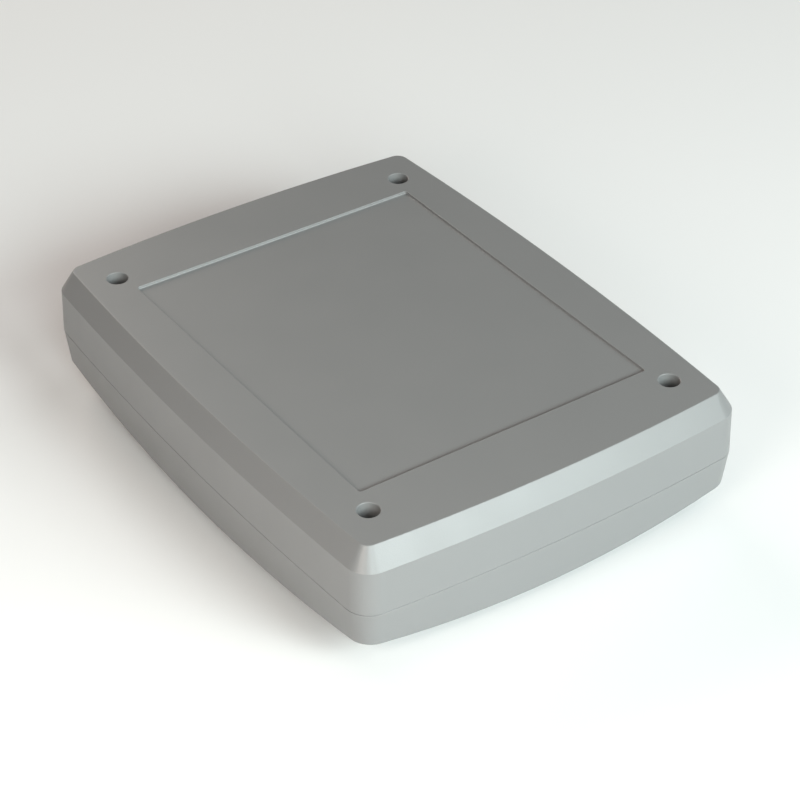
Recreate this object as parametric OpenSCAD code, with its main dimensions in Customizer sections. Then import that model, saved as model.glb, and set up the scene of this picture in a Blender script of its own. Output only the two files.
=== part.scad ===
/* [Housing] */
// Width across the middle of the side walls, at the lower edge of the chamfer
width = 120; // [100:1:170]
// Depth across the middle of the front and back walls, at the lower edge of the chamfer
depth = 154; // [125:1:210]
// Height from the table to the top face
height = 36.6; // [34:0.1:60]
// Height of the parting line above the table
parting_z = 18.5; // [17:0.1:22]
// How far each wall bows out between its corners
bow = 2.8; // [1:0.1:6]
// Depth of the corner rounding at the lower edge of the chamfer
corner_r = 6.4; // [5:0.1:10]
// Width of the chamfer round the top, seen from above
chamfer_w = 3.55; // [2:0.05:4]
// Height of the chamfer round the top
chamfer_h = 5.8; // [3:0.1:8]
// Rounding of the chamfer's two edges
chamfer_edge_r = 0.3; // [0.2:0.05:1]
// Draft of the cover's outer wall, in degrees
cover_draft = 1.8; // [0.5:0.1:3]
// Draft of the base's outer wall, in degrees
base_draft = 7; // [3:0.5:9]
// Open line between the two shells
parting_gap = 0.15; // [0.1:0.05:0.5]
// Rounding of the two edges along the parting line
parting_edge = 0.05; // [0.05:0.05:0.5]

/* [Underside] */
// Rise of the underside from its middle to the front and back walls
crown_rise_y = 5.75; // [2:0.05:7]
// Rise of the underside from its middle to the side walls
crown_rise_x = 5; // [2:0.05:6]
// Depth of the flat face cut at the middle of the underside
crown_flat = 1.5; // [0.5:0.1:2]
// Rounding of the lower edge
bottom_edge_r = 0.5; // [0.4:0.1:2]
// Gap between the flat face and the table
ground_gap = 0.5; // [0.3:0.1:2]
// Diameter of a rubber foot
foot_d = 10; // [8:0.5:14]
// Distance between the feet across the width
foot_pitch_x = 72; // [50:1:80]
// Distance between the feet across the depth
foot_pitch_y = 92; // [60:1:100]
// Depth of the spot face over a foot, at the foot's centre
foot_sink = 0.9; // [0.7:0.1:1.2]
// Play round a foot in its spot face
foot_play = 0.2; // [0.1:0.05:0.4]

/* [Walls] */
// Thickness of the top plate under the sunk field
top_t = 2.6; // [2:0.1:4]
// Thickness of the cover's wall at the parting line
cover_wall = 3; // [2.8:0.1:3.6]
// Thickness of the base's wall at the parting line
rim_w = 4.2; // [4:0.1:5]
// Thickness of the base's floor
floor_t = 2.8; // [2.4:0.1:3.6]
// Draft of the inner walls, in degrees
inner_draft = 1; // [0.5:0.1:2]
// Rounding where an inner wall meets the floor or the top plate
inner_r = 1.5; // [0.8:0.1:3]

/* [Rim] */
// Width of the land outside the groove
land_w = 1.3; // [1.1:0.1:1.5]
// Width of the groove in the base's rim
groove_w = 1.6; // [1.4:0.1:1.8]
// Length of the tongue under the cover's wall
tongue_h = 2.2; // [1.5:0.1:3]
// Play on each side of the tongue
tongue_play = 0.25; // [0.15:0.05:0.4]
// Height of the seal, pressed by the tongue into the groove
seal_h = 1.4; // [1:0.1:2]
// Play on each side of the seal
seal_play = 0.1; // [0.05:0.05:0.2]

/* [Sunk field] */
// Distance of the field from the side walls
field_inset_x = 16.4; // [12:0.1:30]
// Distance of the field from the front and back walls
field_inset_y = 23.8; // [20:0.1:40]
// Depth of the field
field_sink = 0.8; // [0.3:0.1:1.2]
// Rounding of the field's corners
field_r = 0.8; // [0.5:0.1:4]

/* [Screws] */
// Distance of the screws from the side walls
screw_inset_x = 14.3; // [13.5:0.1:20]
// Distance of the screws from the front and back walls
screw_inset_y = 16.9; // [15.5:0.1:20]
// Diameter of the screw holes in the top face
screw_hole_d = 5.7; // [5.7:0.1:7]
// Rounding of the edge of a screw hole
screw_hole_edge = 0.15; // [0.1:0.05:0.5]
// Diameter of the screw columns and bosses
column_d = 10; // [9:0.1:11]
// Depth of the top of a screw head under the top face
screw_sink = 4.3; // [3:0.1:6]
// Thread diameter of the case screws
screw_d = 3; // [2.5:0.5:3]
// Length of a case screw under its head
screw_len = 16; // [15:1:17]
// Diameter of a screw head
screw_head_d = 5.5; // [5:0.1:5.5]
// Height of a screw head
screw_head_h = 2.2; // [1.8:0.1:2.6]
// Width across flats of the socket in a screw head
screw_socket = 2; // [1.5:0.5:2.5]
// Play round the screw in the cover
screw_play = 0.2; // [0.1:0.05:0.3]
// Outer diameter of a threaded insert
insert_d = 4.6; // [4.2:0.1:5]
// Length of a threaded insert
insert_len = 5.8; // [4:0.2:6]
// Thickness of the webs between the columns and the walls
web_t = 1.6; // [1:0.1:2.4]

/* [Board supports] */
// Distance between the board's holes across the width
board_pitch_x = 92; // [70:1:94]
// Distance between the board's holes across the depth
board_pitch_y = 94; // [70:1:96]
// Height of the board's underside above the table
board_z = 11.5; // [10.5:0.5:14]
// Diameter of a standoff
standoff_d = 6.5; // [5:0.5:8]
// Diameter of the pilot hole in a standoff
pilot_d = 2.2; // [1.8:0.1:2.8]
// Depth of the pilot hole in a standoff
pilot_h = 5; // [3:0.5:6]
// Distance of the standoffs' webs below the board
board_web_drop = 2; // [1:0.5:2.5]

/* [Hidden] */

shell_colour = "#c9cec9";
steel_colour = "#8f9296";
brass_colour = "#c2a14d";
rubber_colour = "#2b2c2e";

// Segments of a front or back wall, of a side wall, of a corner and of a small edge rounding
front_n = 14;
side_n = 16;
corner_n = 7;
edge_n = 3;
// Rings of facets across the underside
crown_n = 5;
// How far a cut runs past the face that it opens
past = 1;
// Distance over which the slope of the underside is taken at its edge
slope_run = 4;
// How far a column or web reaches into the top plate
root = top_t / 4;
// Smallest play between parts that are pressed or screwed together
fit_play = 0.05;
// Length of a screw's tapered tip and radius of its head's crown
screw_tip = screw_d / 4;
head_crown_r = 2 * screw_head_d;
// Depth of an insert's waist and chamfer, and length of each of its knurled bands
insert_waist = 0.4;
insert_band = 0.38 * insert_len;
// Rounding of a foot's lower edge
foot_edge = 1;

// Radii and centre distances of the bowed walls
front_r = (width * width / 4 + bow * bow) / (2 * bow);
side_r = (depth * depth / 4 + bow * bow) / (2 * bow);
front_c = front_r - depth / 2;
side_c = side_r - width / 2;

// Heights of the main levels
chamfer_z = height - chamfer_h;
cover_z = parting_z + parting_gap / 2;
base_z = parting_z - parting_gap / 2;
ceiling_z = height - field_sink - top_t;
pole_z = ground_gap - crown_flat;

// Places of the screws, the feet and the board's holes
screw_x = width / 2 - screw_inset_x;
screw_y = depth / 2 - screw_inset_y;
seat_z = height - screw_sink - screw_head_h;
board_x = board_pitch_x / 2;
board_y = board_pitch_y / 2;

// Insets of the rim's parts from the outline at the lower edge of the chamfer
parting_inset = -(chamfer_z - parting_z) * tan(cover_draft);
groove_inset = parting_inset + land_w;
groove_z = cover_z - tongue_h - seal_h;

function unit(v) = v / norm(v);

// Height of the curved underside at a place
function crown(p) = pole_z + crown_rise_x * pow(2 * p.x / width, 2) + crown_rise_y * pow(2 * p.y / depth, 2);

// Outer face of a side wall at a distance y from the middle, and of the front wall at a distance x
function side_x(y) = sqrt(side_r * side_r - y * y) - side_c;
function front_y(x) = sqrt(front_r * front_r - x * x) - front_c;

// Insets of the outer walls at a height
function cover_inset(z) = -(chamfer_z - z) * tan(cover_draft);
function base_inset(z) = parting_inset + (parting_z - z) * tan(base_draft);

// Centre of the corner arc that touches both bowed walls
corner = let (
    a = front_r - corner_r,
    b = side_r - corner_r,
    l = norm([side_c, front_c]),
    m = (a * a - b * b + l * l) / (2 * l),
    h = sqrt(a * a - m * m),
    along = [-side_c, front_c] / l
) [m * along.x + h * along.y, m * along.y - h * along.x - front_c];
front_a = atan2(corner.y + front_c, corner.x);
side_a = atan2(corner.y, corner.x + side_c);

// Points of an arc, each with its inward direction, without the arc's last point
function arc(centre, r, from, to, n) = [
    for (i = [0:n - 1])
        let (a = from + (to - from) * i / n, out = [cos(a), sin(a)])
        [centre + r * out, -out]
];

// The whole bowed outline, counter-clockwise from the front end of the right wall
outline = concat(
    arc([-side_c, 0], side_r, -side_a, side_a, side_n),
    arc(corner, corner_r, side_a, front_a, corner_n),
    arc([0, -front_c], front_r, front_a, 180 - front_a, front_n),
    arc([-corner.x, corner.y], corner_r, 180 - front_a, 180 - side_a, corner_n),
    arc([side_c, 0], side_r, 180 - side_a, 180 + side_a, side_n),
    arc(-corner, corner_r, 180 + side_a, 180 + front_a, corner_n),
    arc([0, front_c], front_r, 180 + front_a, 360 - front_a, front_n),
    arc([corner.x, -corner.y], corner_r, 360 - front_a, 360 - side_a, corner_n)
);

// A wall's profile is a list of points, each an inset from the outline and a height
function rounded(before, at, after, r, n) =
    let (
        u = unit(before - at),
        v = unit(after - at),
        half = acos(u * v) / 2,
        centre = at + unit(u + v) * r / sin(half),
        start = at + u * r / tan(half) - centre,
        end = at + v * r / tan(half) - centre,
        from = atan2(start.y, start.x),
        turn = atan2(start.x * end.y - start.y * end.x, start * end)
    )
    [for (i = [0:n]) centre + r * [cos(from + turn * i / n), sin(from + turn * i / n)]];

function place(q, profile_point) =
    let (p = q[0] + profile_point[0] * q[1])
    [p.x, p.y, profile_point[1]];

// Closed solid through a stack of rings that all have the same number of points
module skin(rings) {
    n = len(rings[0]);
    last = len(rings) - 1;
    polyhedron(
        points = [for (ring = rings, p = ring) p],
        faces = concat(
            [[for (i = [0:n - 1]) i]],
            [
                for (j = [0:last - 1], i = [0:n - 1])
                    let (next = (i + 1) % n)
                    [j * n + i, (j + 1) * n + i, (j + 1) * n + next, j * n + next]
            ],
            [[for (i = [n - 1:-1:0]) last * n + i]]
        ),
        convexity = 4
    );
}

// Upright ring between two insets
module rim_ring(inner, outer, z, h) {
    translate([0, 0, z])
        linear_extrude(h)
            difference() {
                polygon([for (q = outline) q[0] + outer * q[1]]);
                polygon([for (q = outline) q[0] + inner * q[1]]);
            }
}

module at_corners(x, y) {
    for (sx = [-1, 1], sy = [-1, 1])
        translate([sx * x, sy * y, 0])
            children();
}

// Upright web in the XZ plane, centred on Y
module web(points) {
    rotate([90, 0, 0])
        linear_extrude(web_t, center = true)
            polygon(points);
}

// Outer profile of the cover, from the parting line to the top face
cover_profile =
    let (
        low = [cover_inset(cover_z), cover_z],
        shoulder = [0, chamfer_z],
        top = [chamfer_w, height]
    )
    concat(
        [low + [parting_edge, 0], [cover_inset(cover_z + parting_edge), cover_z + parting_edge]],
        rounded(low, shoulder, top, chamfer_edge_r, edge_n),
        rounded(shoulder, top, top + [past, 0], chamfer_edge_r, edge_n)
    );

// Inner profile of the cover, from below the parting line to the top plate
cover_inner_profile =
    let (
        low = [parting_inset + cover_wall, cover_z],
        rise = chamfer_z - cover_z,
        shoulder = [low[0] + rise * tan(inner_draft), chamfer_z],
        slope = chamfer_w / chamfer_h,
        top = [shoulder[0] + (ceiling_z - chamfer_z) * slope, ceiling_z]
    )
    concat(
        [low - [0, past], shoulder],
        rounded(shoulder, top, top + [past, 0], inner_r / 2, edge_n)
    );

// Two webs at right angles that start at one point
module corner_webs(at, points_x, points_y) {
    translate([at.x, at.y, 0]) {
        web(points_x);
        rotate([0, 0, 90]) web(points_y);
    }
}

// Web of the cover between a column and a wall that stands at a distance from the column
function cover_web(reach) =
    let (l = reach - cover_wall / 2, low = cover_z + tongue_h)
    [
        [0, low], [l, low], [l, chamfer_z],
        [l - (ceiling_z - chamfer_z) * chamfer_w / chamfer_h, ceiling_z + root],
        [0, ceiling_z + root]
    ];

module cover_solid() {
    difference() {
        skin([for (p = cover_profile) [for (q = outline) place(q, p)]]);
        skin([for (p = cover_inner_profile) [for (q = outline) place(q, p)]]);
    }
    rim_ring(
        groove_inset + groove_w - tongue_play, groove_inset + tongue_play,
        cover_z - tongue_h, tongue_h + parting_edge
    );
    at_corners(screw_x, screw_y)
        translate([0, 0, cover_z])
            cylinder(h = ceiling_z + root - cover_z, d = column_d, $fn = 64);
    for (mx = [0, 1], my = [0, 1])
        mirror([mx, 0, 0]) mirror([0, my, 0])
            corner_webs(
                [screw_x, screw_y],
                cover_web(side_x(screw_y) - screw_x),
                cover_web(front_y(screw_x) - screw_y)
            );
}

module cover() {
    color(shell_colour)
        difference() {
            cover_solid();
            translate([0, 0, height - field_sink])
                linear_extrude(field_sink + past)
                    field_outline();
            at_corners(screw_x, screw_y)
                screw_way();
        }
}

module field_outline() {
    x = width / 2 - field_inset_x - field_r;
    y = depth / 2 - field_inset_y - field_r;
    square([2 * (x + field_r), 2 * y], center = true);
    square([2 * x, 2 * (y + field_r)], center = true);
    for (sx = [-1, 1], sy = [-1, 1])
        translate([sx * x, sy * y])
            circle(r = field_r, $fn = 32);
}

// Clearance hole, counterbore and eased edge over one screw
module screw_way() {
    translate([0, 0, cover_z - past])
        cylinder(h = seat_z - cover_z + 2 * past, d = screw_d + 2 * screw_play, $fn = 48);
    translate([0, 0, seat_z])
        cylinder(h = height - seat_z + past, d = screw_hole_d, $fn = 64);
    translate([0, 0, height - screw_hole_edge])
        cylinder(
            h = screw_hole_edge + past,
            d1 = screw_hole_d,
            d2 = screw_hole_d + 2 * (screw_hole_edge + past),
            $fn = 64
        );
}

// Profile of the base at one point of the outline, from the lower edge's rounding to the rim
function base_profile(q) =
    let (
        edge_guess = q[0] + base_inset(crown(q[0])) * q[1],
        edge = [base_inset(crown(edge_guess)), crown(edge_guess)],
        rim = [base_inset(base_z), base_z],
        inside = edge + [slope_run, 0],
        below = [inside[0], crown(q[0] + inside[0] * q[1])]
    )
    concat(
        rounded(below, edge, rim, bottom_edge_r, edge_n + 1),
        [[base_inset(base_z - parting_edge), base_z - parting_edge], rim + [parting_edge, 0]]
    );

// Point on the edge of the flat face that lies towards a point of the outline
function flat_point(p) =
    let (
        rx = width / 2 * sqrt(crown_flat / crown_rise_x),
        ry = depth / 2 * sqrt(crown_flat / crown_rise_y),
        a = atan2(p.y / ry, p.x / rx)
    )
    [rx * cos(a), ry * sin(a)];

// Ring of the curved underside, from the flat face at 0 to the rounded edge at 1
function crown_ring(t, ends, lift) = [
    for (p = ends)
        let (f = flat_point([p.x, p.y]), m = f + ([p.x, p.y] - f) * t)
        [m.x, m.y, crown(m) + lift]
];

module base_outer() {
    profiles = [for (q = outline) base_profile(q)];
    rings = [for (j = [0:len(profiles[0]) - 1]) [for (i = [0:len(outline) - 1]) place(outline[i], profiles[i][j])]];
    skin(concat(
        [for (j = [0:crown_n - 1]) crown_ring(j / crown_n, rings[0], 0)],
        rings
    ));
}

// Inner profile of the base at one point of the outline, from the floor to above the rim
function base_inner_profile(q) =
    let (
        rim = [parting_inset + rim_w, base_z],
        foot_inset = rim[0] + (base_z - crown(q[0])) * tan(inner_draft),
        edge = [foot_inset, crown(q[0] + foot_inset * q[1]) + floor_t],
        inside = edge[0] + slope_run,
        below = [inside, crown(q[0] + inside * q[1]) + floor_t]
    )
    concat(rounded(below, edge, rim, inner_r, edge_n), [rim, rim + [0, past]]);

module base_inner() {
    profiles = [for (q = outline) base_inner_profile(q)];
    rings = [for (j = [0:len(profiles[0]) - 1]) [for (i = [0:len(outline) - 1]) place(outline[i], profiles[i][j])]];
    skin(concat(
        [for (j = [0:crown_n - 2]) crown_ring(j / (crown_n - 1), rings[0], floor_t)],
        rings
    ));
}

// Web of a given length that stands in the base's floor
function floor_web(at, dir, l, top) =
    let (low = (crown(at) + floor_t + crown(at + l * dir)) / 2)
    [[0, low], [l, low], [l, top], [0, top]];

// Web of the base between a boss or standoff and a wall
function base_web(at, dir, reach, top) = floor_web(at, dir, reach - rim_w / 2 - bottom_edge_r, top);

module base_solid() {
    screw_at = [screw_x, screw_y];
    board_at = [board_x, board_y];
    foot_at = [foot_pitch_x / 2, foot_pitch_y / 2];
    difference() {
        base_outer();
        base_inner();
    }
    at_corners(screw_x, screw_y)
        translate([0, 0, crown(screw_at) + floor_t / 2])
            cylinder(h = base_z - crown(screw_at) - floor_t / 2, d = column_d, $fn = 64);
    at_corners(board_x, board_y)
        translate([0, 0, crown(board_at) + floor_t / 2])
            cylinder(h = board_z - crown(board_at) - floor_t / 2, d = standoff_d, $fn = 48);
    at_corners(foot_at.x, foot_at.y)
        translate([0, 0, crown(foot_at) + floor_t / 2])
            cylinder(h = foot_sink + floor_t / 2, d = foot_d + 2 * floor_t, $fn = 64);
    for (mx = [0, 1], my = [0, 1])
        mirror([mx, 0, 0]) mirror([0, my, 0]) {
            corner_webs(
                screw_at,
                base_web(screw_at, [1, 0], side_x(screw_y) - screw_x, groove_z - web_t),
                base_web(screw_at, [0, 1], front_y(screw_x) - screw_y, groove_z - web_t)
            );
            corner_webs(
                board_at,
                base_web(board_at, [1, 0], side_x(board_y) - board_x, board_z - board_web_drop),
                floor_web(board_at, [0, 1], screw_y - board_y, board_z - board_web_drop)
            );
        }
}

module base() {
    foot_at = [foot_pitch_x / 2, foot_pitch_y / 2];
    color(shell_colour)
        difference() {
            base_solid();
            rim_ring(groove_inset + groove_w, groove_inset, groove_z, base_z - groove_z + past);
            at_corners(screw_x, screw_y) {
                translate([0, 0, base_z - insert_len])
                    cylinder(h = insert_len + past, d = insert_d + 2 * fit_play, $fn = 64);
                translate([0, 0, seat_z - screw_len - past])
                    cylinder(h = screw_len, d = screw_d + 2 * screw_play, $fn = 48);
            }
            at_corners(board_x, board_y)
                translate([0, 0, board_z - pilot_h])
                    cylinder(h = pilot_h + past, d = pilot_d, $fn = 32);
            at_corners(foot_at.x, foot_at.y)
                translate([0, 0, -past])
                    cylinder(h = crown(foot_at) + foot_sink + past, d = foot_d + 2 * foot_play, $fn = 64);
        }
}

module rim_seal() {
    color(rubber_colour)
        rim_ring(groove_inset + groove_w - seal_play, groove_inset + seal_play, groove_z, seal_h);
}

// Case screw, seated under its head at the given corner
module case_screw(sx, sy) {
    shank_d = screw_d - 2 * fit_play;
    color(steel_colour)
        translate([sx * screw_x, sy * screw_y, seat_z])
            difference() {
                union() {
                    intersection() {
                        cylinder(h = screw_head_h, d = screw_head_d, $fn = 64);
                        translate([0, 0, screw_head_h - head_crown_r])
                            sphere(r = head_crown_r, $fn = 96);
                    }
                    translate([0, 0, screw_tip - screw_len])
                        cylinder(h = screw_len, d = shank_d, $fn = 48);
                    translate([0, 0, -screw_len])
                        cylinder(h = screw_tip, d1 = shank_d - screw_tip, d2 = shank_d, $fn = 48);
                }
                translate([0, 0, screw_head_h / 2])
                    cylinder(h = screw_head_h, d = screw_socket / cos(30), $fn = 6);
            }
}

// Threaded insert, flush with the boss at the given corner, with two knurled bands and a waist
module insert(sx, sy) {
    bore = screw_d / 2;
    outer = insert_d / 2;
    waist = outer - insert_waist;
    color(brass_colour)
        translate([sx * screw_x, sy * screw_y, base_z - insert_len])
            rotate_extrude($fn = 64)
                polygon([
                    [bore, 0], [waist, 0], [outer, insert_waist], [outer, insert_band], [waist, insert_band],
                    [waist, insert_len - insert_band], [outer, insert_len - insert_band], [outer, insert_len],
                    [bore, insert_len]
                ]);
}

// Rubber foot with a rounded lower edge, seated in its spot face
module foot(sx, sy) {
    seat = crown([foot_pitch_x / 2, foot_pitch_y / 2]) + foot_sink;
    color(rubber_colour)
        translate([sx * foot_pitch_x / 2, sy * foot_pitch_y / 2, 0])
            rotate_extrude($fn = 64) {
                square([foot_d / 2 - foot_edge, foot_edge]);
                translate([0, foot_edge]) square([foot_d / 2, seat - foot_edge]);
                intersection() {
                    translate([foot_d / 2 - foot_edge, foot_edge]) circle(r = foot_edge, $fn = 32);
                    square([foot_d / 2, foot_edge]);
                }
            }
}

cover();
base();
rim_seal();
case_screw(-1, -1);  // case_screw_front_left
case_screw(1, -1);  // case_screw_front_right
case_screw(-1, 1);  // case_screw_back_left
case_screw(1, 1);  // case_screw_back_right
insert(-1, -1);  // insert_front_left
insert(1, -1);  // insert_front_right
insert(-1, 1);  // insert_back_left
insert(1, 1);  // insert_back_right
foot(-1, -1);  // foot_front_left
foot(1, -1);  // foot_front_right
foot(-1, 1);  // foot_back_left
foot(1, 1);  // foot_back_right
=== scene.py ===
"""Dresses the electronics enclosure: shells, seal, screws, inserts and feet, with light, floor and camera."""

import logging
import math
from abc import ABC, abstractmethod
from collections.abc import Callable
from dataclasses import dataclass
from enum import Enum

import bmesh
import bpy
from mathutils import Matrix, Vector


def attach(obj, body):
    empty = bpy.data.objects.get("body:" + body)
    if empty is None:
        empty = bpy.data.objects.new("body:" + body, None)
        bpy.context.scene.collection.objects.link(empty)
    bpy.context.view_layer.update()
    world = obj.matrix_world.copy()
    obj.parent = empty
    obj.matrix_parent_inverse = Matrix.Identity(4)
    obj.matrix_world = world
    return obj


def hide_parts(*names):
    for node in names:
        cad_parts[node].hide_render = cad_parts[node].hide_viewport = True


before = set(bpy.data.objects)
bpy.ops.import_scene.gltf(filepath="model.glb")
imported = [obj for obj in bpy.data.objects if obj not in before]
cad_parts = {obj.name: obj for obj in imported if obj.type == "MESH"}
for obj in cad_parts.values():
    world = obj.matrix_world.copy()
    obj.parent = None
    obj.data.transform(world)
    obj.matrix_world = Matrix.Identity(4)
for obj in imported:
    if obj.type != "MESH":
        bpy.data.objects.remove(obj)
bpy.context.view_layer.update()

LOG = logging.getLogger("enclosure")
MM = 0.001
Colour = tuple[float, float, float]
Point = tuple[float, float, float]
Radius = Callable[[float, float], float]
Socket = bpy.types.NodeSocket

# Tints of the lights
WHITE: Colour = (1.0, 1.0, 1.0)
COOL: Colour = (0.87, 0.99, 0.98)
WARM: Colour = (1.0, 0.89, 0.81)

# Points at the height of the floor that the lights look at
NEAR_CORNER: Point = (-0.06, -0.077, 0.0)
CASE_MIDDLE: Point = (0.0, 0.0, 0.0)

# Noise values that stand for its low and its high end
NOISE_LOW, NOISE_HIGH = 0.3, 0.7
# Cosines between the plain and the bevelled normal, on flat ground and at a fully rubbed edge
FLAT_COSINE, EDGE_COSINE = 0.995, 0.93
# Points of a CAD mesh that lie closer together are one point, and flatter folds are no folds
MERGE = 0.002 * MM
FLAT_ANGLE = math.radians(0.05)
# Points of a turned mesh that lie closer together are one point
WELD = 0.0005 * MM
# Radius of the small ring that closes a turned shape on its axis
POLE = 0.05 * MM
# Edges of a turned shape that turn by more than this stay sharp
TURNED_CREASE = math.radians(34.0)
SIXTH_TURN = math.radians(60.0)


class Slot(Enum):
    """Material slots that the record names."""

    HOUSING = "housing"
    SEAL = "seal"
    SCREW = "screw"
    INSERT = "insert"
    FOOT = "foot"


class Corner(Enum):
    """The four corners of the case, as the CAD nodes spell them."""

    FRONT_LEFT = "front_left"
    FRONT_RIGHT = "front_right"
    BACK_LEFT = "back_left"
    BACK_RIGHT = "back_right"


@dataclass(frozen=True)
class Grain:
    """Size and fineness of one layer of noise."""

    per_m: float
    octaves: float = 2.0
    roughness: float = 0.5


class Nodes:
    """Small builder for one procedural material."""

    def __init__(self, name: str) -> None:
        """Starts a material with a plain shader.

        Args:
            name: Name of the material.
        """
        self.material = bpy.data.materials.new(name)
        self.material.use_nodes = True
        self.tree = self.material.node_tree
        self.position = self.tree.nodes.new("ShaderNodeTexCoord").outputs["Object"]

    def feed(self, socket: Socket, value: object) -> None:
        """Sets an input to a value, or links it to an output.

        Args:
            socket: The input.
            value: A number, a vector, a colour or an output.
        """
        if isinstance(value, Socket):
            self.tree.links.new(value, socket)
        elif socket.type == "RGBA":
            socket.default_value = (*value, 1.0)
        else:
            socket.default_value = value

    def wire(self, node: bpy.types.Node, **inputs: object) -> bpy.types.Node:
        """Feeds the named inputs of a node.

        Args:
            node: The node.
            **inputs: Values or outputs, by input name with underscores for spaces.

        Returns:
            The same node.
        """
        for name, value in inputs.items():
            self.feed(node.inputs[name.replace("_", " ")], value)
        return node

    def add(self, kind: str, **inputs: object) -> bpy.types.Node:
        """Adds a node and feeds its inputs.

        Args:
            kind: Blender's name of the node type.
            **inputs: Values or outputs, as in wire().

        Returns:
            The new node.
        """
        return self.wire(self.tree.nodes.new(kind), **inputs)

    def finish(self, **inputs: object) -> bpy.types.Material:
        """Feeds the shader, which ends the material.

        Args:
            **inputs: Values or outputs, as in wire().

        Returns:
            The finished material.
        """
        self.wire(self.tree.nodes["Principled BSDF"], **inputs)
        return self.material

    def noise(self, grain: Grain, place: Socket | None = None) -> Socket:
        """Adds noise over the object's own coordinates.

        Args:
            grain: Size and fineness of the noise.
            place: Coordinates to use in place of the plain ones.

        Returns:
            The noise value's output.
        """
        node = self.add(
            "ShaderNodeTexNoise", Vector=self.position if place is None else place, Scale=grain.per_m,
            Detail=grain.octaves, Roughness=grain.roughness
        )
        return node.outputs["Fac"]

    def cells(self, per_m: float) -> Socket:
        """Adds small round cells over the object's own coordinates.

        Args:
            per_m: Cells per metre.

        Returns:
            The distance output.
        """
        return self.add("ShaderNodeTexVoronoi", Vector=self.position, Scale=per_m).outputs["Distance"]

    def span(self, value: Socket, low: float, high: float) -> Socket:
        """Maps a noise value to a range.

        Args:
            value: Output to map.
            low: Result at the noise's low end.
            high: Result at its high end.

        Returns:
            The mapped output.
        """
        node = self.add(
            "ShaderNodeMapRange", Value=value, From_Min=NOISE_LOW, From_Max=NOISE_HIGH, To_Min=low,
            To_Max=high
        )
        return node.outputs["Result"]

    def blend(self, factor: Socket, first: Colour | Socket, second: Colour | Socket) -> Socket:
        """Mixes two colours by a value.

        Args:
            factor: Output between 0 and 1.
            first: Colour at 0.
            second: Colour at 1.

        Returns:
            The mixed colour's output.
        """
        node = self.tree.nodes.new("ShaderNodeMix")
        node.data_type = "RGBA"
        self.wire(node, Factor=factor)
        colours = [socket for socket in node.inputs if socket.type == "RGBA"]
        for socket, colour in zip(colours, (first, second)):
            self.feed(socket, colour)
        return next(socket for socket in node.outputs if socket.type == "RGBA")

    def bump(self, height: Socket, depth: float, under: Socket | None = None) -> Socket:
        """Adds bump of a real depth, on top of another bump if one is given.

        Args:
            height: Output that varies from 0 to 1.
            depth: Height of the full range, in metres.
            under: Normal of the coarser bump below.

        Returns:
            The bumped normal's output.
        """
        node = self.add("ShaderNodeBump", Height=height, Distance=depth)
        if under is not None:
            self.wire(node, Normal=under)
        return node.outputs["Normal"]

    def worn_edges(self, band: float, strength: float) -> Socket:
        """Picks out the edges, where hands and tables rub.

        Args:
            band: How far the rubbed band reaches from an edge, in metres.
            strength: How strongly an edge shows, from 0 to 1.

        Returns:
            A value that is 0 on flat ground and rises at edges.
        """
        dot = self.tree.nodes.new("ShaderNodeVectorMath")
        dot.operation = "DOT_PRODUCT"
        self.feed(dot.inputs[0], self.add("ShaderNodeBevel", Radius=band).outputs["Normal"])
        self.feed(dot.inputs[1], self.add("ShaderNodeNewGeometry").outputs["Normal"])
        node = self.add(
            "ShaderNodeMapRange", Value=dot.outputs["Value"], From_Min=FLAT_COSINE, From_Max=EDGE_COSINE,
            To_Min=0.0, To_Max=strength
        )
        return node.outputs["Result"]


@dataclass(frozen=True)
class MouldedPlastic:
    """Injection-moulded housing plastic with a fine spark texture."""

    name: str = "housing_plastic"
    colour: Colour = (0.23, 0.23, 0.23)
    shade: Colour = (0.223, 0.223, 0.223)
    worn: Colour = (0.27, 0.27, 0.27)
    worn_band: float = 0.5 * MM
    wear: float = 0.5
    clouds: Grain = Grain(14.0, 3.0)
    gloss: Grain = Grain(60.0, 4.0)
    roughness: tuple[float, float] = (0.37, 0.43)
    sink: Grain = Grain(22.0, 1.0)
    sink_depth: float = 0.05 * MM
    texture: Grain = Grain(3200.0)
    texture_depth: float = 0.022 * MM
    ior: float = 1.5
    specular: float = 0.7

    def build(self) -> bpy.types.Material:
        """Makes the material.

        Returns:
            The finished material.
        """
        n = Nodes(self.name)
        body = n.blend(n.span(n.noise(self.clouds), 0.0, 1.0), self.colour, self.shade)
        sunk = n.bump(n.noise(self.sink), self.sink_depth)
        return n.finish(
            Base_Color=n.blend(n.worn_edges(self.worn_band, self.wear), body, self.worn),
            Roughness=n.span(n.noise(self.gloss), *self.roughness),
            Normal=n.bump(n.noise(self.texture), self.texture_depth, sunk),
            IOR=self.ior,
            Specular_IOR_Level=self.specular,
        )


@dataclass(frozen=True)
class MouldedRubber:
    """Black rubber of the feet and the sealing cord, with a little dust."""

    name: str
    cells_per_m: float = 1800.0
    cell_depth: float = 0.02 * MM
    colour: Colour = (0.022, 0.022, 0.024)
    dusty: Colour = (0.05, 0.049, 0.047)
    dust: Grain = Grain(180.0, 4.0, 0.6)
    dust_cover: float = 0.7
    gloss: Grain = Grain(420.0, 3.0)
    roughness: tuple[float, float] = (0.62, 0.78)

    def build(self) -> bpy.types.Material:
        """Makes the material.

        Returns:
            The finished material.
        """
        n = Nodes(self.name)
        return n.finish(
            Base_Color=n.blend(n.span(n.noise(self.dust), 0.0, self.dust_cover), self.colour, self.dusty),
            Roughness=n.span(n.noise(self.gloss), *self.roughness),
            Normal=n.bump(n.cells(self.cells_per_m), self.cell_depth),
        )


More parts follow.
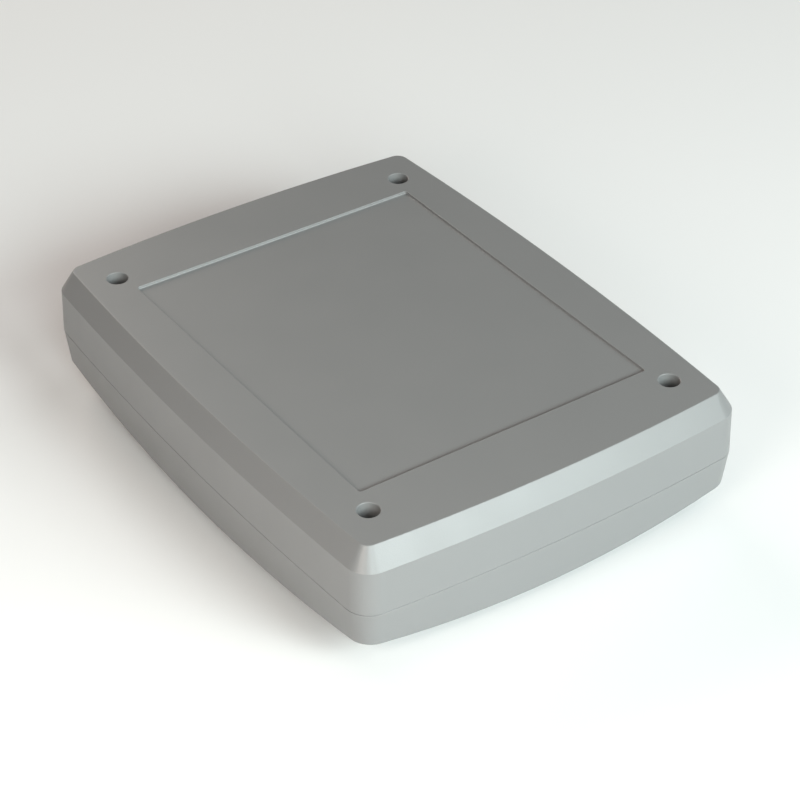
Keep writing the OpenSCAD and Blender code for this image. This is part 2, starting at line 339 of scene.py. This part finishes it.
@dataclass(frozen=True)
class PlatedSteel:
    """Bright zinc plating on the case screws."""

    name: str = "zinc_plated_steel"
    colour: Colour = (0.62, 0.64, 0.67)
    stain: Colour = (0.5, 0.5, 0.5)
    clouds: Grain = Grain(700.0, 3.0)
    gloss: Grain = Grain(1500.0)
    roughness: tuple[float, float] = (0.24, 0.38)
    texture: Grain = Grain(5200.0)
    texture_depth: float = 0.004 * MM

    def build(self) -> bpy.types.Material:
        """Makes the material.

        Returns:
            The finished material.
        """
        n = Nodes(self.name)
        return n.finish(
            Base_Color=n.blend(n.span(n.noise(self.clouds), 0.0, 1.0), self.colour, self.stain),
            Roughness=n.span(n.noise(self.gloss), *self.roughness),
            Normal=n.bump(n.noise(self.texture), self.texture_depth),
            Metallic=1.0,
        )


@dataclass(frozen=True)
class TurnedBrass:
    """Brass of the inserts, with the fine rings that turning leaves."""

    name: str = "turned_brass"
    colour: Colour = (0.78, 0.58, 0.26)
    dull: Colour = (0.6, 0.43, 0.2)
    dullness: float = 0.8
    rings_per_m: tuple[float, float, float] = (300.0, 300.0, 9000.0)
    roughness: tuple[float, float] = (0.26, 0.4)
    ring_depth: float = 0.004 * MM

    def build(self) -> bpy.types.Material:
        """Makes the material.

        Returns:
            The finished material.
        """
        n = Nodes(self.name)
        rings = n.add("ShaderNodeMapping", Vector=n.position, Scale=self.rings_per_m)
        turned = n.noise(Grain(1.0), rings.outputs["Vector"])
        return n.finish(
            Base_Color=n.blend(n.span(turned, 0.0, self.dullness), self.colour, self.dull),
            Roughness=n.span(turned, *self.roughness),
            Normal=n.bump(turned, self.ring_depth),
            Metallic=1.0,
        )


@dataclass(frozen=True)
class MattFloor:
    """Pale matt paper that the case stands on."""

    name: str = "pale_floor"
    colour: Colour = (0.9, 0.9, 0.9)
    shade: Colour = (0.8865, 0.8865, 0.8865)
    clouds: Grain = Grain(3.0)
    roughness: float = 0.9
    specular: float = 0.1

    def build(self) -> bpy.types.Material:
        """Makes the material.

        Returns:
            The finished material.
        """
        n = Nodes(self.name)
        return n.finish(
            Base_Color=n.blend(n.noise(self.clouds), self.colour, self.shade),
            Roughness=self.roughness,
            Specular_IOR_Level=self.specular,
        )


def add_object(name: str, data: bpy.types.ID) -> bpy.types.Object:
    """Adds an object to the scene, at the origin, unturned and unscaled.

    Args:
        name: Name of the object.
        data: Its mesh, camera or light.

    Returns:
        The new object.
    """
    thing = bpy.data.objects.new(name, data)
    bpy.context.scene.collection.objects.link(thing)
    return thing


def add_mesh(mesh: bmesh.types.BMesh, name: str, material: bpy.types.Material) -> bpy.types.Object:
    """Turns a bmesh into an object of the scene.

    Args:
        mesh: The finished shape, in metres.
        name: Name of the object.
        material: Its finish.

    Returns:
        The new object.
    """
    data = bpy.data.meshes.new(name)
    mesh.to_mesh(data)
    mesh.free()
    data.materials.append(material)
    return add_object(name, data)


def stand_in(
    mesh: bmesh.types.BMesh, node: str, material: bpy.types.Material
) -> bpy.types.Object:
    """Puts a detailed piece, which rides on the case, in the place of a CAD node.

    Args:
        mesh: The finished shape, in metres.
        node: Name of the node that it stands in for.
        material: Its finish.

    Returns:
        The piece.
    """
    piece = add_mesh(mesh, node + "_piece", material)
    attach(piece, "root")
    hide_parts(node)
    LOG.info("%s: %d faces", piece.name, len(piece.data.polygons))
    return piece


def joined_copy(node: str) -> bmesh.types.BMesh:
    """Copies a CAD node's mesh, joins its loose triangles and dissolves what lies flat.

    Args:
        node: Name of the node.

    Returns:
        The joined copy.
    """
    mesh = bmesh.new()
    mesh.from_mesh(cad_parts[node].data)
    bmesh.ops.remove_doubles(mesh, verts=mesh.verts, dist=MERGE)
    bmesh.ops.dissolve_limit(mesh, angle_limit=FLAT_ANGLE, verts=mesh.verts, edges=mesh.edges)
    return mesh


def round_edges(
    mesh: bmesh.types.BMesh, edges: list[bmesh.types.BMEdge], radius: float, segments: int
) -> None:
    """Rounds edges of a mesh.

    Args:
        mesh: The mesh.
        edges: The edges to round.
        radius: Size of the rounding.
        segments: Number of strips across it.
    """
    bmesh.ops.bevel(
        mesh, geom=edges, offset=radius, offset_type="OFFSET", segments=segments, profile=0.5,
        affect="EDGES", clamp_overlap=True, material=-1
    )
    LOG.info("%d edges rounded by %.2f mm", len(edges), radius / MM)


def mark_creases(mesh: bmesh.types.BMesh, crease: float) -> None:
    """Keeps the sharp edges of a mesh sharp.

    Args:
        mesh: The mesh.
        crease: Edges that turn by more than this stay sharp.
    """
    for edge in mesh.edges:
        edge.smooth = edge.calc_face_angle(0.0) < crease


def shade(mesh: bmesh.types.BMesh, crease: float) -> None:
    """Shades a mesh smoothly, apart from its sharp edges.

    Args:
        mesh: The mesh.
        crease: Edges that turn by more than this stay sharp.
    """
    for face in mesh.faces:
        face.smooth = True
    mark_creases(mesh, crease)


def clamp(value: float) -> float:
    """Holds a value between 0 and 1."""
    return min(1.0, max(0.0, value))


def wave(turns: float) -> float:
    """Triangle wave: 1 at whole turns and 0 half-way between them."""
    return abs(2.0 * (turns % 1.0) - 1.0)


def hexagon(across: float) -> Radius:
    """Radius of a hexagon with a corner at angle 0.

    Args:
        across: Width across flats.

    Returns:
        The radius function.
    """
    def radius(angle: float, _z: float) -> float:
        """Radius of the hexagon at an angle."""
        return across / 2 / math.cos(angle % SIXTH_TURN - SIXTH_TURN / 2)
    return radius


def node_box(node: str) -> tuple[Vector, Vector]:
    """Finds the lowest and highest corner of a CAD node.

    Args:
        node: Name of the node.

    Returns:
        Both corners of its box.
    """
    points = [vert.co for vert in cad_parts[node].data.vertices]
    low = Vector([min(point[axis] for point in points) for axis in range(3)])
    high = Vector([max(point[axis] for point in points) for axis in range(3)])
    return low, high


class Turned:
    """Shape that is built ring by ring round an upright axis."""

    def __init__(self, segments: int) -> None:
        """Starts an empty shape.

        Args:
            segments: Number of points in each ring.
        """
        self.segments = segments
        self.mesh = bmesh.new()
        self.edges: list[bmesh.types.BMEdge] = []

    def ring(self, z: float, radius: float | Radius) -> None:
        """Extrudes the last ring to the next one.

        Args:
            z: Height of the new ring.
            radius: Its radius, or a function of angle and height that gives it.
        """
        if self.edges:
            made = bmesh.ops.extrude_edge_only(self.mesh, edges=self.edges)["geom"]
            verts = [part for part in made if isinstance(part, bmesh.types.BMVert)]
            self.edges = [part for part in made if isinstance(part, bmesh.types.BMEdge) and part.is_boundary]
        else:
            circle = bmesh.ops.create_circle(self.mesh, cap_ends=False, segments=self.segments, radius=MM)
            verts = circle["verts"]
            self.edges = list(self.mesh.edges)
        for vert in verts:
            angle = math.atan2(vert.co.y, vert.co.x)
            r = radius(angle, z) if callable(radius) else radius
            vert.co = (r * math.cos(angle), r * math.sin(angle), z)

    def rings(self, start: float, end: float, step: float, radius: float | Radius) -> None:
        """Adds evenly spaced rings, the one at the end included.

        Args:
            start: Height before the first of them.
            end: Height of the last of them.
            step: Wanted distance between rings.
            radius: Radius or function, as in ring().
        """
        count = max(1, round(abs(end - start) / step))
        for i in range(1, count + 1):
            self.ring(start + (end - start) * i / count, radius)

    def arc(self, centre: tuple[float, float], r: float, start: float, end: float, steps: int) -> None:
        """Adds rings along an arc of the profile.

        Args:
            centre: Radius and height of the arc's centre.
            r: Radius of the arc.
            start: First angle above the outward direction, in degrees.
            end: Last angle, in degrees.
            steps: Number of chords.
        """
        for i in range(steps + 1):
            turn = math.radians(start + (end - start) * i / steps)
            self.ring(centre[1] + r * math.sin(turn), centre[0] + r * math.cos(turn))

    def finish(self, low: Vector, high: Vector, z: float) -> bmesh.types.BMesh:
        """Closes the shape, stands it in the middle of a box and sets the shading.

        Args:
            low: Lowest corner of the box.
            high: Highest corner.
            z: Height of the shape's own zero point.

        Returns:
            The finished mesh.
        """
        mesh = self.mesh
        bmesh.ops.remove_doubles(mesh, verts=mesh.verts, dist=WELD)
        bmesh.ops.holes_fill(mesh, edges=mesh.edges, sides=0)
        bmesh.ops.recalc_face_normals(mesh, faces=mesh.faces)
        place = Vector(((low.x + high.x) / 2, (low.y + high.y) / 2, z))
        bmesh.ops.translate(mesh, verts=mesh.verts, vec=place)
        shade(mesh, TURNED_CREASE)
        return mesh


class CornerPieces(ABC):
    """Four equal turned pieces, one at each corner of the case."""

    prefix: str
    slot: Slot
    finish: MouldedRubber | PlatedSteel | TurnedBrass

    @abstractmethod
    def mesh(self, low: Vector, high: Vector) -> bmesh.types.BMesh:
        """Builds one piece in the box of its solid.

        Args:
            low: Lowest corner of the box.
            high: Highest corner.

        Returns:
            The piece's mesh.
        """

    def build(self) -> None:
        """Makes the four pieces in the places of their nodes."""
        material = self.finish.build()
        for corner in Corner:
            node = self.prefix + corner.value
            stand_in(self.mesh(*node_box(node)), node, material)


@dataclass
class MouldedShells:
    """Cover and base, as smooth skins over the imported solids."""

    finish: MouldedPlastic = MouldedPlastic()
    crease: float = math.radians(24.0)
    level_cosine: float = 0.999999
    wide_face: float = 300.0 * MM * MM
    flat_weight: int = 100
    steep: float = math.radians(80.0)
    field_sink: float = 0.8 * MM
    rim_rounding: float = 0.15 * MM
    floor_rounding: float = 0.3 * MM
    rounding_segments: int = 4

    def round_rims(self, mesh: bmesh.types.BMesh) -> None:
        """Rounds the walls that drop from the highest plane, at their rim and at the sunk field's floor.

        Args:
            mesh: The joined shell.
        """
        top = max(vert.co.z for vert in mesh.verts)
        for height, rounding in ((top, self.rim_rounding), (top - self.field_sink, self.floor_rounding)):
            rims = [
                edge for edge in mesh.edges
                if all(abs(vert.co.z - height) < MERGE for vert in edge.verts)
                and edge.calc_face_angle(0.0) > self.steep
            ]
            round_edges(mesh, rims, rounding, self.rounding_segments)

    def skin(self, node: str, material: bpy.types.Material) -> None:
        """Makes one shell, with its curves shaded smoothly and its level and wide faces flat.

        Args:
            node: Name of the shell's node.
            material: Its finish.
        """
        mesh = joined_copy(node)
        self.round_rims(mesh)
        for face in mesh.faces:
            face.smooth = abs(face.normal.z) < self.level_cosine and face.calc_area() < self.wide_face
        mark_creases(mesh, self.crease)
        shell = stand_in(mesh, node, material)
        weighted = shell.modifiers.new("even_shading", "WEIGHTED_NORMAL")
        weighted.keep_sharp = True
        weighted.weight = self.flat_weight

    def build(self) -> None:
        """Makes both shells."""
        material = self.finish.build()
        for node in ("cover", "base"):
            self.skin(node, material)


@dataclass
class SealingCord:
    """The cord in the rim's groove, with its four long edges rounded."""

    finish: MouldedRubber = MouldedRubber("seal_rubber", cells_per_m=900.0)
    edge: float = 0.3 * MM
    segments: int = 3
    sharp: float = math.radians(60.0)
    crease: float = math.radians(40.0)

    def build(self) -> None:
        """Makes the cord from a copy of its solid."""
        mesh = joined_copy("rim_seal")
        long_edges = [edge for edge in mesh.edges if edge.calc_face_angle(0.0) > self.sharp]
        round_edges(mesh, long_edges, self.edge, self.segments)
        shade(mesh, self.crease)
        stand_in(mesh, "rim_seal", self.finish.build())


@dataclass
class CaseScrews(CornerPieces):
    """Four socket screws with a crowned head, a cut thread and a tapered tip."""

    prefix: str = "case_screw_"
    slot: Slot = Slot.SCREW
    finish: PlatedSteel = PlatedSteel()
    head_height: float = 2.2 * MM
    crown: float = 11.0 * MM
    crown_rings: tuple[float, ...] = (1.5 * MM, 1.9 * MM, 2.2 * MM)
    rim: float = 0.35 * MM
    rim_turn: float = 78.0
    rim_steps: int = 5
    socket: float = 2.0 * MM
    socket_floor: float = 1.1 * MM
    socket_point: float = 0.2 * MM
    edge: float = 0.12 * MM
    shank: float = 1.45 * MM
    pitch: float = 0.5 * MM
    rings_per_pitch: int = 6
    thread_depth: float = 0.27 * MM
    flank: float = 1.25
    root: float = 0.1
    plain: float = 0.9 * MM
    tip: float = 0.75 * MM
    segments: int = 48

    def crown_z(self, r: float) -> float:
        """Height of the crowned head at a radius, over the underside of the head."""
        return self.head_height - self.crown + math.sqrt(self.crown**2 - r**2)

    def thread(self, length: float) -> Radius:
        """Radius of the thread on the shank, with a run-out at the head and a taper at the tip.

        Args:
            length: Length of the shank.

        Returns:
            The radius function.
        """
        def radius(angle: float, z: float) -> float:
            """Finds the radius of the shank.

            Args:
                angle: Angle round the axis.
                z: Height over the underside of the head.

            Returns:
                The radius there.
            """
            ridge = clamp(self.flank * wave(z / self.pitch - angle / math.tau) - self.root)
            depth = self.thread_depth * clamp((-z - self.plain) / self.pitch)
            taper = max(0.0, -z - length + self.tip) / 2
            return self.shank - max(taper, depth * (1.0 - ridge))
        return radius

    def mesh(self, low: Vector, high: Vector) -> bmesh.types.BMesh:
        """Builds one screw in the box of its solid, from the socket's point to the tip.

        Args:
            low: Lowest corner of the box.
            high: Highest corner.

        Returns:
            The screw's mesh.
        """
        seat = high.z - self.head_height
        length = seat - low.z
        head = (high.x - low.x) / 2
        mouth = self.crown_z(self.socket / 2)
        turned = Turned(self.segments)
        turned.ring(self.socket_floor - self.socket_point, POLE)
        turned.ring(self.socket_floor, hexagon(self.socket))
        turned.ring(mouth - self.edge, hexagon(self.socket))
        turned.ring(mouth, hexagon(self.socket + 2 * self.edge))
        for r in self.crown_rings:
            turned.ring(self.crown_z(r), r)
        shoulder = head - self.rim
        centre = (shoulder, self.crown_z(shoulder) - self.rim)
        turned.arc(centre, self.rim, self.rim_turn, 0.0, self.rim_steps)
        turned.ring(self.edge, head)
        turned.ring(0.0, head - self.edge)
        turned.ring(0.0, self.shank + self.edge)
        turned.ring(-self.edge, self.shank)
        turned.rings(-self.plain, -length, self.pitch / self.rings_per_pitch, self.thread(length))
        turned.ring(-length, POLE)
        return turned.finish(low, high, seat)


@dataclass
class ThreadedInserts(CornerPieces):
    """Four brass inserts with two knurled bands, a waist and a threaded bore."""

    prefix: str = "insert_"
    slot: Slot = Slot.INSERT
    finish: TurnedBrass = TurnedBrass()
    waist: float = 0.4 * MM
    band: float = 2.2 * MM
    shoulder: float = 0.05 * MM
    lead_in: float = 0.1 * MM
    teeth: int = 24
    tooth_depth: float = 0.16 * MM
    tooth_lead: float = 0.8 * MM
    bore: float = 1.5 * MM
    groove: float = 0.12 * MM
    pitch: float = 0.5 * MM
    rings_per_pitch: int = 4
    countersink: float = 0.2 * MM
    segments: int = 96

    def knurl(self, outer: float) -> Radius:
        """Radius of a band with crossed knurls.

        Args:
            outer: Radius over the points of the knurl.

        Returns:
            The radius function.
        """
        def radius(angle: float, z: float) -> float:
            """Radius of the band at an angle and a height."""
            along, up = self.teeth * angle / math.tau, z / self.tooth_lead
            return outer - self.tooth_depth * (1.0 - min(wave(along + up), wave(along - up)))
        return radius

    def thread(self, angle: float, z: float) -> float:
        """Radius of the threaded bore at an angle and a height."""
        return self.bore + self.groove * wave(z / self.pitch - angle / math.tau)

    def mesh(self, low: Vector, high: Vector) -> bmesh.types.BMesh:
        """Builds one insert in the box of its solid, up the outside and down the bore.

        Args:
            low: Lowest corner of the box.
            high: Highest corner.

        Returns:
            The insert's mesh.
        """
        outer, length = (high.x - low.x) / 2, high.z - low.z
        inner, knurl = outer - self.waist, self.knurl(outer)
        step, cut = self.tooth_lead / self.rings_per_pitch, self.pitch / self.rings_per_pitch
        turned = Turned(self.segments)
        turned.ring(0.0, inner)
        turned.ring(self.waist, knurl)
        turned.rings(self.waist, self.band, step, knurl)
        turned.ring(self.band + self.shoulder, inner)
        turned.ring(length - self.band - self.shoulder, inner)
        turned.ring(length - self.band, knurl)
        turned.rings(length - self.band, length - self.lead_in, step, knurl)
        turned.ring(length, outer - self.tooth_depth)
        turned.ring(length, self.bore + self.countersink)
        turned.ring(length - self.countersink, self.bore)
        turned.rings(length - self.countersink, self.countersink, cut, self.thread)
        turned.ring(0.0, self.bore + self.countersink)
        turned.ring(0.0, inner)
        return turned.finish(low, high, low.z)


@dataclass
class RubberFeet(CornerPieces):
    """Four rubber feet with a rounded tread and a shallow dish under each."""

    prefix: str = "foot_"
    slot: Slot = Slot.FOOT
    finish: MouldedRubber = MouldedRubber("foot_rubber")
    edge: float = 1.0 * MM
    edge_steps: int = 8
    dish: float = 0.25 * MM
    dish_lip: float = 0.0625 * MM
    dish_radius: float = 2.9 * MM
    segments: int = 64

    def mesh(self, low: Vector, high: Vector) -> bmesh.types.BMesh:
        """Builds one foot in the box of its solid, from the dish up.

        Args:
            low: Lowest corner of the box.
            high: Highest corner.

        Returns:
            The foot's mesh.
        """
        r, height = (high.x - low.x) / 2, high.z - low.z
        turned = Turned(self.segments)
        turned.ring(self.dish, POLE)
        turned.ring(self.dish, self.dish_radius - self.dish)
        turned.ring(self.dish_lip, self.dish_radius)
        turned.ring(0.0, self.dish_radius + self.dish)
        turned.arc((r - self.edge, self.edge), self.edge, -90.0, 0.0, self.edge_steps)
        turned.ring(height, r)
        turned.ring(height, POLE)
        return turned.finish(low, high, low.z)


def stand_off(
    thing: bpy.types.Object, target: Point, azimuth: float, elevation: float, distance: float
) -> None:
    """Stands a camera or a light off from a point and turns it to look there.

    Args:
        thing: The camera or light.
        target: The point that it looks at.
        azimuth: Turn of its place from the front towards the right, in degrees.
        elevation: Angle of its place above the level, in degrees.
        distance: Distance from the point.
    """
    az, el = math.radians(azimuth), math.radians(elevation)
    back = Vector((math.sin(az) * math.cos(el), -math.cos(az) * math.cos(el), math.sin(el)))
    thing.location = Vector(target) + back * distance
    thing.rotation_euler = back.to_track_quat("Z", "Y").to_euler()


@dataclass(frozen=True)
class PhotoCamera:
    """Camera at the photograph's viewing angle."""

    name: str = "photo_camera"
    azimuth: float = -34.666
    elevation: float = 36.212
    distance: float = 0.62536
    target: Point = (0.003875, -0.001598, 0.012515)
    lens: float = 105.67
    sensor: float = 36.0
    shift: tuple[float, float] = (-0.000625, 0.000625)
    nearest: float = 0.01
    farthest: float = 20.0

    def place(self) -> None:
        """Puts the camera in the scene and makes it the active one."""
        data = bpy.data.cameras.new(self.name)
        data.lens = self.lens
        data.sensor_width = self.sensor
        data.sensor_fit = "HORIZONTAL"
        data.shift_x, data.shift_y = self.shift
        data.clip_start, data.clip_end = self.nearest, self.farthest
        camera = add_object(self.name, data)
        stand_off(camera, self.target, self.azimuth, self.elevation, self.distance)
        bpy.context.scene.camera = camera


@dataclass(frozen=True)
class SoftLight:
    """One large soft light that looks at the case."""

    name: str
    azimuth: float
    elevation: float
    watts: float
    colour: Colour = WHITE
    distance: float = 1.2
    size: float = 0.5
    target: Point = CASE_MIDDLE

    def place(self) -> None:
        """Puts the light in the scene."""
        data = bpy.data.lights.new(self.name, "AREA")
        data.shape = "DISK"
        data.size = self.size
        data.energy = self.watts
        data.color = self.colour
        stand_off(add_object(self.name, data), self.target, self.azimuth, self.elevation, self.distance)


@dataclass
class Studio:
    """Plain pale floor and plain soft light, with nothing round them."""

    floor_size: float = 8.0
    floor_finish: MattFloor = MattFloor()
    lights: tuple[SoftLight, ...] = (
        SoftLight("front_left", azimuth=-20.0, elevation=25.0, watts=6.6, colour=COOL),
        SoftLight("front_key", azimuth=12.0, elevation=28.0, watts=8.3, colour=COOL),
        SoftLight("front_right", azimuth=30.0, elevation=22.0, watts=4.8, colour=COOL),
        SoftLight("front_high", azimuth=20.0, elevation=50.0, watts=2.0),
        SoftLight("back_left", azimuth=-125.0, elevation=8.0, watts=0.3),
        SoftLight("back", azimuth=180.0, elevation=26.0, watts=13.0, colour=WARM, distance=1.6, size=1.0),
        SoftLight("right", azimuth=95.0, elevation=50.0, watts=2.8, distance=1.6, size=1.0),
        SoftLight(
            "near_corner", azimuth=-65.0, elevation=35.0, watts=0.66, colour=WARM, distance=0.35, size=0.2,
            target=NEAR_CORNER
        ),
    )

    def floor(self) -> None:
        """Lays the floor under the feet."""
        mesh = bmesh.new()
        bmesh.ops.create_grid(mesh, x_segments=1, y_segments=1, size=self.floor_size / 2)
        floor = add_mesh(mesh, "floor", self.floor_finish.build())

    def surround(self) -> None:
        """Leaves the surround dark, so that only the lights shine on the case."""
        world = bpy.data.worlds.new("surround")
        world.use_nodes = True
        world.node_tree.nodes["Background"].inputs["Strength"].default_value = 0.0
        bpy.context.scene.world = world

    def build(self) -> None:
        """Sets up floor, surround, lights and tone."""
        self.floor()
        self.surround()
        for light in self.lights:
            light.place()
        bpy.context.scene.view_settings.view_transform = "Standard"


def main() -> None:
    """Builds camera, studio and every piece of the case in order."""
    logging.basicConfig(level=logging.INFO, format="%(name)s: %(message)s")
    PhotoCamera().place()
    Studio().build()
    MouldedShells().build()
    SealingCord().build()
    CaseScrews().build()
    ThreadedInserts().build()
    RubberFeet().build()


if __name__ == "__main__":
    main()
